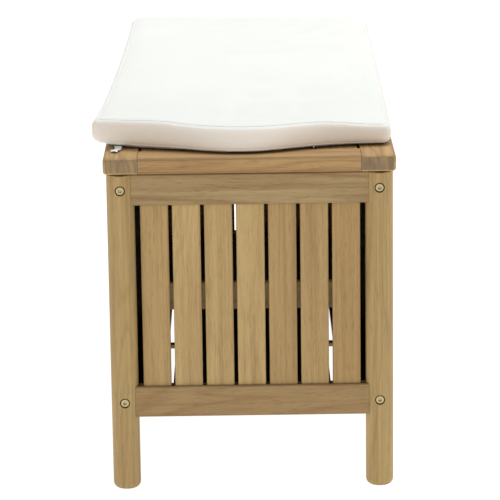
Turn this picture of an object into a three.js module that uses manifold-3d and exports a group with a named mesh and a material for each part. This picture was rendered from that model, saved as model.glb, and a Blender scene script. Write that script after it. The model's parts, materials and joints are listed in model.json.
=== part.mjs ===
// Slatted wooden storage bench: four round legs, slatted walls, a slatted floor, a framed lid on
// two butt hinges and a loose seat cushion. Millimetres. X runs along the bench, Y from the front to
// the hinge side, Z up. The origin is on the ground under the middle of the bench.
import * as THREE from 'three';
import { mergeVertices } from 'three/addons/utils/BufferGeometryUtils.js';
import Module from 'manifold-3d';

const wasm = await Module();
wasm.setup();

// Driving dimensions
const CLEARANCE = 0.3;

const LID_LENGTH = 1170;
const LID_WIDTH = 490;
const LID_TOP = 584;
const LID_THICKNESS = 28;
const LID_FRAME_WIDTH = 58;
const LID_EDGE_ROUND = 5;
const LID_CORNER_ROUND = 8;
const LID_TENON_LENGTH = 12;
const LID_TENON_THICKNESS = 10;
const LID_TENON_SHOULDER = 9;
const LID_BOARDS = 5;
const LID_BOARD_GAP = 4;
const LID_BOARD_THICKNESS = 16;
const LID_BOARD_DROP = 1;
const LID_TONGUE_LENGTH = 8;
const LID_TONGUE_THICKNESS = 6;
const LID_BATTEN_WIDTH = 60;
const LID_BATTEN_THICKNESS = 17;
const LID_BATTEN_OFFSET = 290;
const LID_GAP = 2.6;

const LEG_RADIUS = 23.5;
const LEG_END_INSET = 9;
const LEG_SIDE_INSET = 4;
const LEG_FOOT_ROUND = 10;
const LEG_TOP_CHAMFER = 2;

const RAIL_HEIGHT = 54;
const RAIL_THICKNESS = 25;
const RAIL_ROUND = 3;
const RAIL_FACE_OFFSET = 15.5;
const BOTTOM_RAIL_BASE = 128.5;
const TENON_LENGTH = 12;
const TENON_THICKNESS = 12;
const TENON_HEIGHT = 34;

const SLAT_THICKNESS = 12;
const SLAT_SETBACK = 5;
const SLAT_GAP = 6.4;
const SLAT_TO_LEG = 8.9;
const SLAT_ROUND = 1.5;
const SLAT_GROOVE_DEPTH = 10;
const END_SLATS = 7;
const SIDE_SLATS = 19;
const BATTEN_HEIGHT = 48;
const BATTEN_THICKNESS = 12;
const BATTEN_MIDDLE = 337;
const BATTEN_END_INSET = 3;
const GLUE_DEPTH = 0.4;

const FLOOR_BOARDS = 6;
const FLOOR_GAP = 13.6;
const FLOOR_TOP = 164;
const FLOOR_BOARD_THICKNESS = 12;
const END_BEARER_WIDTH = 38;
const END_BEARER_HEIGHT = 22;
const END_BEARER_TO_LEG = 5;
const TIE_STRIP_WIDTH = 20;
const TIE_STRIP_HEIGHT = 6;
const TIE_STRIP_OFFSET = 195;

const LINER_THICKNESS = 1.5;
const LINER_TO_LEG = 1;
const LINER_TOP_INSET = 18;
const LINER_SLOT_MARGIN = 24;

const BOLT_RADIUS = 4;
const BOLT_LENGTH = 80;
const BOLT_HEAD_RADIUS = 7;
const BOLT_HEAD_HEIGHT = 7;
const BOLT_HEAD_SUNK = 2;
const BOLT_SOCKET_WIDTH = 6;
const BOLT_SOCKET_DEPTH = 4;
const BOLT_HOLE_RADIUS = 4.5;
const COUNTERBORE_RADIUS = 8.6;

const HINGE_OFFSET = 380;
const HINGE_LENGTH = 70;
const HINGE_LEAF_THICKNESS = 2;
const HINGE_LEAF_WIDTH = 30;
const HINGE_KNUCKLES = 5;
const HINGE_KNUCKLE_GAP = 0.4;
const HINGE_BARREL_RADIUS = 5;
const HINGE_PIN_RADIUS = 2.5;
const HINGE_PIN_OVERHANG = 1;
const HINGE_SCREW_RADIUS = 2.2;
const HINGE_SCREW_SPACING = 24;

const BUMPER_OFFSET = 400;
const BUMPER_RADIUS = 6;
const BUMPER_STEM_RADIUS = 2;
const BUMPER_STEM_LENGTH = 8;

const CUSHION_RIGHT_INSET = 45;
const CUSHION_LEFT_INSET = 20;
const CUSHION_SIDE_INSET = 0;
const CUSHION_THICKNESS = 48;
const CUSHION_CORNER_ROUND = 22;
const CUSHION_EDGE_ROUND = 10;

// Places worked out from the dimensions above
const legX = LID_LENGTH / 2 - LEG_END_INSET - LEG_RADIUS;
const legY = LID_WIDTH / 2 - LEG_SIDE_INSET - LEG_RADIUS;
const lidBase = LID_TOP - LID_THICKNESS;
const frameTop = lidBase - LID_GAP;
const topRailBase = frameTop - RAIL_HEIGHT;
const bottomRailTop = BOTTOM_RAIL_BASE + RAIL_HEIGHT;
const railInnerOffset = RAIL_FACE_OFFSET - RAIL_THICKNESS;
const railMiddleOffset = (RAIL_FACE_OFFSET + railInnerOffset) / 2;
const slatOuterOffset = RAIL_FACE_OFFSET - SLAT_SETBACK;
const slatInnerOffset = slatOuterOffset - SLAT_THICKNESS;
const sideBattenOuter = legY + slatInnerOffset + GLUE_DEPTH;
const sideBattenInner = sideBattenOuter - BATTEN_THICKNESS;
const slatBase = bottomRailTop - SLAT_GROOVE_DEPTH + CLEARANCE;
const slatTop = topRailBase + SLAT_GROOVE_DEPTH - CLEARANCE;
const boltHeights = [
  BOTTOM_RAIL_BASE + RAIL_HEIGHT / 2,
  topRailBase + RAIL_HEIGHT / 2,
];
const lidInnerX = LID_LENGTH / 2 - LID_FRAME_WIDTH;
const lidInnerY = LID_WIDTH / 2 - LID_FRAME_WIDTH;
const lidBoardTop = LID_TOP - LID_BOARD_DROP;
const lidBoardBase = lidBoardTop - LID_BOARD_THICKNESS;
const lidBoardMiddle = (lidBoardTop + lidBoardBase) / 2;
const floorHalfY = legY + railInnerOffset - CLEARANCE;
const floorBoardWidth = (2 * floorHalfY - (FLOOR_BOARDS - 1) * FLOOR_GAP) / FLOOR_BOARDS;
const hingeY = legY + RAIL_FACE_OFFSET + CLEARANCE + HINGE_BARREL_RADIUS;
const hingeZ = lidBase - CLEARANCE - HINGE_BARREL_RADIUS;

const wood = new THREE.MeshStandardMaterial({ color: 0xb2925f, roughness: 0.7, metalness: 0 });
const endGrainWood = new THREE.MeshStandardMaterial({ color: 0x9a8262, roughness: 0.75, metalness: 0 });
const brass = new THREE.MeshStandardMaterial({ color: 0xd8c99a, roughness: 0.35, metalness: 0.9 });
const steel = new THREE.MeshStandardMaterial({ color: 0x9a9a96, roughness: 0.4, metalness: 0.9 });
const rubber = new THREE.MeshStandardMaterial({ color: 0xd9d6cf, roughness: 0.8, metalness: 0 });
const wovenLiner = new THREE.MeshStandardMaterial({ color: 0x1c1a18, roughness: 0.9, metalness: 0 });
const fabric = new THREE.MeshStandardMaterial({ color: 0xe9e6dd, roughness: 0.95, metalness: 0 });

// Solids
function toSolid(geometry) {
  geometry.deleteAttribute('normal');
  geometry.deleteAttribute('uv');
  const merged = mergeVertices(geometry, 1e-4);
  return new wasm.Manifold(new wasm.Mesh({
    numProp: 3,
    vertProperties: merged.attributes.position.array,
    triVerts: new Uint32Array(merged.index.array),
  }));
}

function toGeometry(solid) {
  const mesh = solid.getMesh();
  const geometry = new THREE.BufferGeometry();
  geometry.setAttribute('position', new THREE.BufferAttribute(mesh.vertProperties, 3));
  geometry.setIndex(new THREE.BufferAttribute(mesh.triVerts, 1));
  geometry.computeVertexNormals();
  return geometry;
}

function box(x0, x1, y0, y1, z0, z1) {
  const geometry = new THREE.BoxGeometry(x1 - x0, y1 - y0, z1 - z0);
  geometry.translate((x0 + x1) / 2, (y0 + y1) / 2, (z0 + z1) / 2);
  return toSolid(geometry);
}

function roundedRectangle(u0, u1, v0, v1, radius) {
  const shape = new THREE.Shape();
  const quarter = Math.PI / 2;
  shape.moveTo(u0 + radius, v0);
  shape.lineTo(u1 - radius, v0);
  shape.absarc(u1 - radius, v0 + radius, radius, -quarter, 0);
  shape.lineTo(u1, v1 - radius);
  shape.absarc(u1 - radius, v1 - radius, radius, 0, quarter);
  shape.lineTo(u0 + radius, v1);
  shape.absarc(u0 + radius, v1 - radius, radius, quarter, 2 * quarter);
  shape.lineTo(u0, v0 + radius);
  shape.absarc(u0 + radius, v0 + radius, radius, 2 * quarter, 3 * quarter);
  return shape;
}

function extrude(shape, depth, curveSegments) {
  return new THREE.ExtrudeGeometry(shape, { depth, curveSegments, bevelEnabled: false });
}

// A section in Y and Z run along X
function runAlongX(section, x0, x1, curveSegments = 2) {
  const geometry = extrude(section, x1 - x0, curveSegments);
  const basis = new THREE.Matrix4().makeBasis(
    new THREE.Vector3(0, 1, 0), new THREE.Vector3(0, 0, 1), new THREE.Vector3(1, 0, 0));
  geometry.applyMatrix4(basis);
  geometry.translate(x0, 0, 0);
  return toSolid(geometry);
}

// A section in X and Z run along Y
function runAlongY(section, y0, y1, curveSegments = 2) {
  const geometry = extrude(section, y1 - y0, curveSegments);
  const basis = new THREE.Matrix4().makeBasis(
    new THREE.Vector3(1, 0, 0), new THREE.Vector3(0, 0, 1), new THREE.Vector3(0, -1, 0));
  geometry.applyMatrix4(basis);
  geometry.translate(0, y1, 0);
  return toSolid(geometry);
}

// A section in X and Y run along Z
function runAlongZ(section, z0, z1, curveSegments = 2) {
  const geometry = extrude(section, z1 - z0, curveSegments);
  geometry.translate(0, 0, z0);
  return toSolid(geometry);
}

function cylinderAlongX(radius, x0, x1, y, z, sides = 16) {
  const geometry = new THREE.CylinderGeometry(radius, radius, x1 - x0, sides);
  geometry.rotateZ(-Math.PI / 2);
  geometry.translate((x0 + x1) / 2, y, z);
  return toSolid(geometry);
}

function cylinderAlongY(radius, y0, y1, x, z, sides = 10) {
  const geometry = new THREE.CylinderGeometry(radius, radius, y1 - y0, sides);
  geometry.translate(x, (y0 + y1) / 2, z);
  return toSolid(geometry);
}

function cylinderAlongZ(radius, z0, z1, x, y, sides = 16) {
  const geometry = new THREE.CylinderGeometry(radius, radius, z1 - z0, sides);
  geometry.rotateX(Math.PI / 2);
  geometry.translate(x, y, (z0 + z1) / 2);
  return toSolid(geometry);
}

const LEG_SIDES = 32;

// The space that a leg takes, with clearance, for coping whatever meets it
function legSpace(x, y) {
  return cylinderAlongZ(LEG_RADIUS + CLEARANCE, -1, LID_TOP, x, y, LEG_SIDES);
}

function endTenon(y0, y1, railBase, clearance) {
  const middle = legX + railMiddleOffset;
  const half = TENON_THICKNESS / 2 + clearance;
  const height = TENON_HEIGHT / 2 + clearance;
  const z = railBase + RAIL_HEIGHT / 2;
  return box(middle - half, middle + half, y0, y1, z - height, z + height);
}

// Corner leg at +X on the side given by sideSign
function leg(sideSign) {
  const points = [new THREE.Vector2(0, 0)];
  const footSteps = 4;
  for (let step = 0; step <= footSteps; step += 1) {
    const angle = (step / footSteps) * Math.PI / 2;
    points.push(new THREE.Vector2(
      LEG_RADIUS - LEG_FOOT_ROUND + LEG_FOOT_ROUND * Math.sin(angle),
      LEG_FOOT_ROUND - LEG_FOOT_ROUND * Math.cos(angle)));
  }
  points.push(new THREE.Vector2(LEG_RADIUS, frameTop - LEG_TOP_CHAMFER));
  points.push(new THREE.Vector2(LEG_RADIUS - LEG_TOP_CHAMFER, frameTop));
  points.push(new THREE.Vector2(0, frameTop));
  const geometry = new THREE.LatheGeometry(points, LEG_SIDES);
  geometry.rotateX(Math.PI / 2);
  geometry.translate(legX, sideSign * legY, 0);
  let solid = toSolid(geometry);
  const outside = legX + LEG_RADIUS + 1;
  const seat = legX + LEG_RADIUS - BOLT_HEAD_SUNK - BOLT_HEAD_HEIGHT - CLEARANCE;
  for (const z of boltHeights) {
    const y = sideSign * legY;
    solid = solid.subtract(cylinderAlongX(COUNTERBORE_RADIUS, seat, outside, y, z, 24));
    solid = solid.subtract(cylinderAlongX(BOLT_HOLE_RADIUS, legX - LEG_RADIUS - 1, outside, y, z));
  }
  const innerFace = legY - LEG_RADIUS;
  const mortiseEnd = innerFace + TENON_LENGTH + CLEARANCE;
  for (const railBase of [BOTTOM_RAIL_BASE, topRailBase]) {
    const y0 = sideSign > 0 ? innerFace - 1 : -mortiseEnd;
    const y1 = sideSign > 0 ? mortiseEnd : 1 - innerFace;
    solid = solid.subtract(endTenon(y0, y1, railBase, CLEARANCE));
  }
  return solid;
}

function bolt(y, z) {
  const headEnd = legX + LEG_RADIUS - BOLT_HEAD_SUNK;
  const headStart = headEnd - BOLT_HEAD_HEIGHT;
  const chamfer = 0.8;
  const profile = [
    new THREE.Vector2(0, -BOLT_LENGTH),
    new THREE.Vector2(BOLT_RADIUS - chamfer, -BOLT_LENGTH),
    new THREE.Vector2(BOLT_RADIUS, chamfer - BOLT_LENGTH),
    new THREE.Vector2(BOLT_RADIUS, 0),
    new THREE.Vector2(BOLT_HEAD_RADIUS, 0),
    new THREE.Vector2(BOLT_HEAD_RADIUS, BOLT_HEAD_HEIGHT - chamfer),
    new THREE.Vector2(BOLT_HEAD_RADIUS - chamfer, BOLT_HEAD_HEIGHT),
    new THREE.Vector2(0, BOLT_HEAD_HEIGHT),
  ];
  const geometry = new THREE.LatheGeometry(profile, 16);
  geometry.rotateZ(-Math.PI / 2);
  geometry.translate(headStart, y, z);
  const socketRadius = BOLT_SOCKET_WIDTH / Math.sqrt(3);
  const socket = cylinderAlongX(socketRadius, headEnd - BOLT_SOCKET_DEPTH, headEnd + 1, y, z, 6);
  return toSolid(geometry).subtract(socket);
}

// End rail between the two legs at +X
function endRail(railBase) {
  const section = roundedRectangle(
    legX + railInnerOffset, legX + RAIL_FACE_OFFSET, railBase, railBase + RAIL_HEIGHT, RAIL_ROUND);
  let solid = runAlongY(section, -legY, legY);
  solid = solid.subtract(legSpace(legX, legY)).subtract(legSpace(legX, -legY));
  solid = solid.subtract(box(legX - 2 * LEG_RADIUS, legX + 2 * LEG_RADIUS, legY - 1, legY + 1, 0, LID_TOP));
  const tenonEnd = legY - LEG_RADIUS + TENON_LENGTH;
  const tenons = endTenon(-tenonEnd, tenonEnd, railBase, 0);
  const groove = slatGroove(railBase);
  const grooveBox = box(
    legX + slatInnerOffset - CLEARANCE, legX + slatOuterOffset + CLEARANCE,
    -legY, legY, groove[0], groove[1]);
  return largestPiece(solid.add(tenons).subtract(grooveBox));
}

// Heights between which the slat groove is cut in the rail that starts at railBase
function slatGroove(railBase) {
  if (railBase === topRailBase) {
    return [topRailBase - 1, topRailBase + SLAT_GROOVE_DEPTH];
  }
  return [bottomRailTop - SLAT_GROOVE_DEPTH, bottomRailTop + 1];
}

// Coping a rail with round legs can leave loose slivers past the leg: only the rail itself is kept
function largestPiece(solid) {
  const parts = solid.decompose();
  return parts.reduce((best, part) => (part.volume() > best.volume() ? part : best));
}

// Long rail on the hinge side
function sideRail(railBase, bumperHoles) {
  const section = roundedRectangle(
    legY + railInnerOffset, legY + RAIL_FACE_OFFSET, railBase, railBase + RAIL_HEIGHT, RAIL_ROUND);
  let solid = runAlongX(section, -legX, legX);
  solid = solid.subtract(legSpace(legX, legY)).subtract(legSpace(-legX, legY));
  const groove = slatGroove(railBase);
  solid = solid.subtract(box(
    -legX, legX, legY + slatInnerOffset - CLEARANCE, legY + slatOuterOffset + CLEARANCE,
    groove[0], groove[1]));
  const boltEnd = legX + LEG_RADIUS - BOLT_HEAD_SUNK - BOLT_HEAD_HEIGHT - BOLT_LENGTH - 5;
  const boltZ = railBase + RAIL_HEIGHT / 2;
  solid = solid.subtract(cylinderAlongX(BOLT_HOLE_RADIUS, boltEnd, legX, legY, boltZ));
  solid = solid.subtract(cylinderAlongX(BOLT_HOLE_RADIUS, -legX, -boltEnd, legY, boltZ));
  if (bumperHoles) {
    for (const x of [-BUMPER_OFFSET, BUMPER_OFFSET]) {
      const depth = frameTop - BUMPER_STEM_LENGTH - CLEARANCE;
      solid = solid.subtract(cylinderAlongZ(
        BUMPER_STEM_RADIUS + CLEARANCE, depth, frameTop + 1, x, legY + railMiddleOffset, 12));
    }
  }
  return largestPiece(solid);
}

function slatWidth(halfSpan, count) {
  const clear = 2 * (halfSpan - LEG_RADIUS - SLAT_TO_LEG);
  return (clear - (count - 1) * SLAT_GAP) / count;
}

// Lowest coordinate of slat number index along a wall between legs at +-halfSpan
function slatStart(halfSpan, count, index) {
  const width = slatWidth(halfSpan, count);
  return -(halfSpan - LEG_RADIUS - SLAT_TO_LEG) + index * (width + SLAT_GAP);
}

function endSlat(index) {
  const y0 = slatStart(legY, END_SLATS, index);
  const section = roundedRectangle(
    legX + slatInnerOffset, legX + slatOuterOffset, y0, y0 + slatWidth(legY, END_SLATS), SLAT_ROUND);
  return runAlongZ(section, slatBase, slatTop);
}

function endBatten() {
  const outer = legX + slatInnerOffset - CLEARANCE;
  const half = legY - LEG_RADIUS - SLAT_TO_LEG - BATTEN_END_INSET;
  const section = roundedRectangle(
    outer - BATTEN_THICKNESS, outer,
    BATTEN_MIDDLE - BATTEN_HEIGHT / 2, BATTEN_MIDDLE + BATTEN_HEIGHT / 2, RAIL_ROUND);
  return runAlongY(section, -half, half);
}

// Slats of a long wall glued to the batten behind them
function sidePanel() {
  const half = legX - LEG_RADIUS - SLAT_TO_LEG - BATTEN_END_INSET;
  const battenSection = roundedRectangle(
    sideBattenInner, sideBattenOuter,
    BATTEN_MIDDLE - BATTEN_HEIGHT / 2, BATTEN_MIDDLE + BATTEN_HEIGHT / 2, RAIL_ROUND);
  let solid = runAlongX(battenSection, -half, half, 1);
  const width = slatWidth(legX, SIDE_SLATS);
  for (let index = 0; index < SIDE_SLATS; index += 1) {
    const x0 = slatStart(legX, SIDE_SLATS, index);
    const section = roundedRectangle(
      x0, x0 + width, legY + slatInnerOffset, legY + slatOuterOffset, SLAT_ROUND);
    solid = solid.add(runAlongZ(section, slatBase, slatTop, 1));
  }
  return solid;
}

// Lowest Y of floor board number index
function floorBoardStart(index) {
  return -floorHalfY + index * (floorBoardWidth + FLOOR_GAP);
}

// Lengthwise floor boards on a bearer at each end and two thin tie strips: the whole grille drops
// in between the rails
function floorGrille() {
  const halfX = legX + railInnerOffset - CLEARANCE;
  const boardBase = FLOOR_TOP - FLOOR_BOARD_THICKNESS;
  const crossPiece = (x, width, height) => box(
    x - width / 2, x + width / 2, -floorHalfY, floorHalfY, boardBase - height, boardBase + GLUE_DEPTH);
  const endBearer = legX - LEG_RADIUS - END_BEARER_TO_LEG - END_BEARER_WIDTH / 2;
  let solid = crossPiece(endBearer, END_BEARER_WIDTH, END_BEARER_HEIGHT)
    .add(crossPiece(-endBearer, END_BEARER_WIDTH, END_BEARER_HEIGHT))
    .add(crossPiece(TIE_STRIP_OFFSET, TIE_STRIP_WIDTH, TIE_STRIP_HEIGHT))
    .add(crossPiece(-TIE_STRIP_OFFSET, TIE_STRIP_WIDTH, TIE_STRIP_HEIGHT));
  for (let index = 0; index < FLOOR_BOARDS; index += 1) {
    const y0 = floorBoardStart(index);
    const section = roundedRectangle(y0, y0 + floorBoardWidth, boardBase, FLOOR_TOP, SLAT_ROUND);
    solid = solid.add(runAlongX(section, -halfX, halfX, 1));
  }
  for (const x of [-legX, legX]) {
    for (const y of [-legY, legY]) {
      solid = solid.subtract(legSpace(x, y));
    }
  }
  return solid;
}

// Woven liner along both long walls and over the floor, open at the ends and slotted over the
// gaps between the floor boards
function liner() {
  const half = legX - LEG_RADIUS - LINER_TO_LEG;
  const wallOuter = sideBattenInner - CLEARANCE;
  const wallInner = wallOuter - LINER_THICKNESS;
  const base = FLOOR_TOP + CLEARANCE;
  const floorTop = base + LINER_THICKNESS;
  const top = frameTop - LINER_TOP_INSET;
  let solid = box(-half, half, -wallOuter, wallOuter, base, top);
  solid = solid.subtract(box(-half - 1, half + 1, -wallInner, wallInner, floorTop, top + 1));
  const slotHalf = half - LINER_SLOT_MARGIN;
  for (let index = 1; index < FLOOR_BOARDS; index += 1) {
    const y1 = floorBoardStart(index);
    solid = solid.subtract(box(-slotHalf, slotHalf, y1 - FLOOR_GAP, y1, base - 1, floorTop + 1));
  }
  return solid;
}

// The lid's outer form: rounded corners in plan and rounded top and bottom edges
function lidEnvelope() {
  const inset = LID_EDGE_ROUND;
  const shape = roundedRectangle(
    inset - LID_LENGTH / 2, LID_LENGTH / 2 - inset,
    inset - LID_WIDTH / 2, LID_WIDTH / 2 - inset, LID_CORNER_ROUND - inset);
  const geometry = new THREE.ExtrudeGeometry(shape, {
    depth: LID_THICKNESS - 2 * inset,
    curveSegments: 3,
    bevelEnabled: true,
    bevelThickness: inset,
    bevelSize: inset,
    bevelSegments: 3,
  });
  geometry.translate(0, 0, lidBase + inset);
  return toSolid(geometry);
}

// Tenon, or its mortise, between an end rail at +X and the stile on the side given by sideSign
function lidTenon(sideSign, clearance) {
  const reach = LID_TENON_LENGTH + clearance;
  const y0 = sideSign > 0 ? lidInnerY - 1 : -(lidInnerY + reach);
  const y1 = sideSign > 0 ? lidInnerY + reach : 1 - lidInnerY;
  const half = LID_TENON_THICKNESS / 2 + clearance;
  const z = lidBase + LID_THICKNESS / 2;
  const x0 = lidInnerX + LID_TENON_SHOULDER - clearance;
  const x1 = LID_LENGTH / 2 - LID_TENON_SHOULDER + clearance;
  return box(x0, x1, y0, y1, z - half, z + half);
}

function lidStile(envelope) {
  const half = LID_LENGTH / 2 + 1;
  let solid = box(-half, half, lidInnerY, LID_WIDTH / 2 + 1, lidBase - 1, LID_TOP + 1);
  solid = solid.intersect(envelope);
  const mortise = lidTenon(1, CLEARANCE);
  return solid.subtract(mortise).subtract(mortise.rotate([0, 0, 180]).mirror([0, 1, 0]));
}

function lidEndRail(envelope) {
  const halfY = lidInnerY - CLEARANCE;
  let solid = box(lidInnerX, LID_LENGTH / 2 + 1, -halfY, halfY, lidBase - 1, LID_TOP + 1);
  solid = solid.intersect(envelope).add(lidTenon(1, 0)).add(lidTenon(-1, 0));
  const half = LID_TONGUE_THICKNESS / 2 + CLEARANCE;
  const grooveEnd = lidInnerX + LID_TONGUE_LENGTH + CLEARANCE;
  return solid.subtract(box(
    lidInnerX - 1, grooveEnd, 1 - lidInnerY, lidInnerY - 1, lidBoardMiddle - half, lidBoardMiddle + half));
}

function lidBoardWidth() {
  return (2 * lidInnerY - (LID_BOARDS + 1) * LID_BOARD_GAP) / LID_BOARDS;
}

function lidBoard(index) {
  const width = lidBoardWidth();
  const y0 = -lidInnerY + LID_BOARD_GAP + index * (width + LID_BOARD_GAP);
  const halfX = lidInnerX - CLEARANCE;
  const section = roundedRectangle(y0, y0 + width, lidBoardBase, lidBoardTop, SLAT_ROUND);
  const tongueHalf = lidInnerX + LID_TONGUE_LENGTH;
  const half = LID_TONGUE_THICKNESS / 2;
  const tongue = box(
    -tongueHalf, tongueHalf, y0 + LID_BOARD_GAP, y0 + width - LID_BOARD_GAP,
    lidBoardMiddle - half, lidBoardMiddle + half);
  return runAlongX(section, -halfX, halfX, 2).add(tongue);
}

function lidBatten(x) {
  const top = lidBoardBase - CLEARANCE;
  const half = LID_BATTEN_WIDTH / 2;
  const section = roundedRectangle(x - half, x + half, top - LID_BATTEN_THICKNESS, top, RAIL_ROUND);
  const halfY = lidInnerY - LID_BOARD_GAP / 2;
  return runAlongY(section, -halfY, halfY);
}

// Ends of knuckle number index of the hinge around x = 0
function knuckleSpan(index) {
  const length = (HINGE_LENGTH - (HINGE_KNUCKLES - 1) * HINGE_KNUCKLE_GAP) / HINGE_KNUCKLES;
  const start = -HINGE_LENGTH / 2 + index * (length + HINGE_KNUCKLE_GAP);
  return [start, start + length];
}

// A leaf is a plate with its own knuckles, notched round the other leaf's knuckles
function hingeLeaf(plate, firstKnuckle) {
  let solid = plate;
  const reach = HINGE_BARREL_RADIUS + HINGE_KNUCKLE_GAP;
  for (let index = 1 - firstKnuckle; index < HINGE_KNUCKLES; index += 2) {
    const [x0, x1] = knuckleSpan(index);
    const gap = HINGE_KNUCKLE_GAP;
    solid = solid.subtract(box(
      x0 - gap, x1 + gap, hingeY - reach, hingeY + reach, hingeZ - reach, hingeZ + reach));
  }
  for (let index = firstKnuckle; index < HINGE_KNUCKLES; index += 2) {
    const [x0, x1] = knuckleSpan(index);
    solid = solid.add(cylinderAlongX(HINGE_BARREL_RADIUS, x0, x1, hingeY, hingeZ));
  }
  const bore = HINGE_PIN_RADIUS + CLEARANCE;
  return solid.subtract(cylinderAlongX(bore, -HINGE_LENGTH, HINGE_LENGTH, hingeY, hingeZ));
}

// Leaf on the rear face of the top rail
function hingeBoxLeaf() {
  const face = hingeY - HINGE_BARREL_RADIUS;
  let plate = box(
    -HINGE_LENGTH / 2, HINGE_LENGTH / 2, face, face + HINGE_LEAF_THICKNESS,
    hingeZ - HINGE_BARREL_RADIUS - HINGE_LEAF_WIDTH, hingeZ);
  const z = hingeZ - HINGE_BARREL_RADIUS - HINGE_LEAF_WIDTH / 2;
  for (const x of [-HINGE_SCREW_SPACING, 0, HINGE_SCREW_SPACING]) {
    plate = plate.subtract(cylinderAlongY(
      HINGE_SCREW_RADIUS, face - 1, face + HINGE_LEAF_THICKNESS + 1, x, z));
  }
  return hingeLeaf(plate, 0);
}

// Leaf between the lid's underside and the top of the rail
function hingeLidLeaf() {
  const top = hingeZ + HINGE_BARREL_RADIUS;
  let plate = box(
    -HINGE_LENGTH / 2, HINGE_LENGTH / 2, hingeY - HINGE_BARREL_RADIUS - HINGE_LEAF_WIDTH, hingeY,
    top - HINGE_LEAF_THICKNESS, top);
  const y = hingeY - HINGE_BARREL_RADIUS - HINGE_LEAF_WIDTH / 2;
  for (const x of [-HINGE_SCREW_SPACING, 0, HINGE_SCREW_SPACING]) {
    plate = plate.subtract(cylinderAlongZ(
      HINGE_SCREW_RADIUS, top - HINGE_LEAF_THICKNESS - 1, top + 1, x, y, 10));
  }
  return hingeLeaf(plate, 1);
}

function hingePin() {
  const half = HINGE_LENGTH / 2 + HINGE_PIN_OVERHANG;
  return cylinderAlongX(HINGE_PIN_RADIUS, -half, half, hingeY, hingeZ, 20);
}

// Soft stop under the lid, with its stem in the front top rail
function bumper(x) {
  const y = -(legY + railMiddleOffset);
  const base = frameTop + CLEARANCE;
  const head = cylinderAlongZ(BUMPER_RADIUS, base, lidBase - CLEARANCE, x, y);
  const stem = cylinderAlongZ(BUMPER_STEM_RADIUS, frameTop - BUMPER_STEM_LENGTH, base + 1, x, y, 12);
  return head.add(stem);
}

function cushion() {
  const inset = CUSHION_EDGE_ROUND;
  const halfY = LID_WIDTH / 2 - CUSHION_SIDE_INSET;
  const shape = roundedRectangle(
    inset + CUSHION_LEFT_INSET - LID_LENGTH / 2, LID_LENGTH / 2 - CUSHION_RIGHT_INSET - inset,
    inset - halfY, halfY - inset, CUSHION_CORNER_ROUND - inset);
  const geometry = new THREE.ExtrudeGeometry(shape, {
    depth: CUSHION_THICKNESS - 2 * inset,
    curveSegments: 3,
    bevelEnabled: true,
    bevelThickness: inset,
    bevelSize: inset,
    bevelSegments: 2,
  });
  geometry.translate(0, 0, LID_TOP + CLEARANCE + inset);
  return toSolid(geometry);
}

// Assembly
const bench = new THREE.Group();

function place(name, solid, material, turn = 0) {
  const mesh = new THREE.Mesh(toGeometry(solid), material);
  mesh.name = name;
  mesh.rotation.z = turn;
  bench.add(mesh);
  return mesh;
}

const HALF_TURN = Math.PI;
const ends = [{ end: 'right', turn: 0 }, { end: 'left', turn: HALF_TURN }];
const sides = [{ side: 'rear', turn: 0 }, { side: 'front', turn: HALF_TURN }];

for (const { end, turn } of ends) {
  for (const sideSign of [-1, 1]) {
    const facesRear = (sideSign > 0) === (turn === 0);
    const corner = `${facesRear ? 'rear' : 'front'}_${end}`;
    place(`leg_${corner}`, leg(sideSign), wood, turn);
    place(`bolt_bottom_${corner}`, bolt(sideSign * legY, boltHeights[0]), brass, turn);
    place(`bolt_top_${corner}`, bolt(sideSign * legY, boltHeights[1]), brass, turn);
  }
  place(`end_bottom_rail_${end}`, endRail(BOTTOM_RAIL_BASE), wood, turn);
  place(`end_top_rail_${end}`, endRail(topRailBase), wood, turn);
  for (let index = 0; index < END_SLATS; index += 1) {
    place(`end_slat_${end}_${index + 1}`, endSlat(index), wood, turn);
  }
  place(`end_batten_${end}`, endBatten(), wood, turn);
}

for (const { side, turn } of sides) {
  place(`side_bottom_rail_${side}`, sideRail(BOTTOM_RAIL_BASE, false), wood, turn);
  place(`side_top_rail_${side}`, sideRail(topRailBase, side === 'front'), wood, turn);
  place(`side_slat_panel_${side}`, sidePanel(), wood, turn);
}

place('floor_grille', floorGrille(), wood);
place('liner', liner(), wovenLiner);

const envelope = lidEnvelope();
for (const { side, turn } of sides) {
  place(`lid_stile_${side}`, lidStile(envelope), endGrainWood, turn);
}
for (const { end, turn } of ends) {
  place(`lid_end_rail_${end}`, lidEndRail(envelope), wood, turn);
}
for (let index = 0; index < LID_BOARDS; index += 1) {
  place(`lid_board_${index + 1}`, lidBoard(index), wood);
}
place('lid_batten_left', lidBatten(-LID_BATTEN_OFFSET), wood);
place('lid_batten_right', lidBatten(LID_BATTEN_OFFSET), wood);

for (const [end, x] of [['left', -HINGE_OFFSET], ['right', HINGE_OFFSET]]) {
  place(`hinge_box_leaf_${end}`, hingeBoxLeaf(), steel).position.x = x;
  place(`hinge_lid_leaf_${end}`, hingeLidLeaf(), steel).position.x = x;
  place(`hinge_pin_${end}`, hingePin(), steel).position.x = x;
}

place('lid_bumper_left', bumper(-BUMPER_OFFSET), rubber);
place('lid_bumper_right', bumper(BUMPER_OFFSET), rubber);

place('seat_cushion', cushion(), fabric);

export default bench;
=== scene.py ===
"""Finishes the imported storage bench: oiled timber, brass bolts, steel hinges, woven liner and cushion."""

import json
import math
import random

import bpy
import numpy as np
from mathutils import Matrix, Vector
from mathutils.bvhtree import BVHTree


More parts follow.
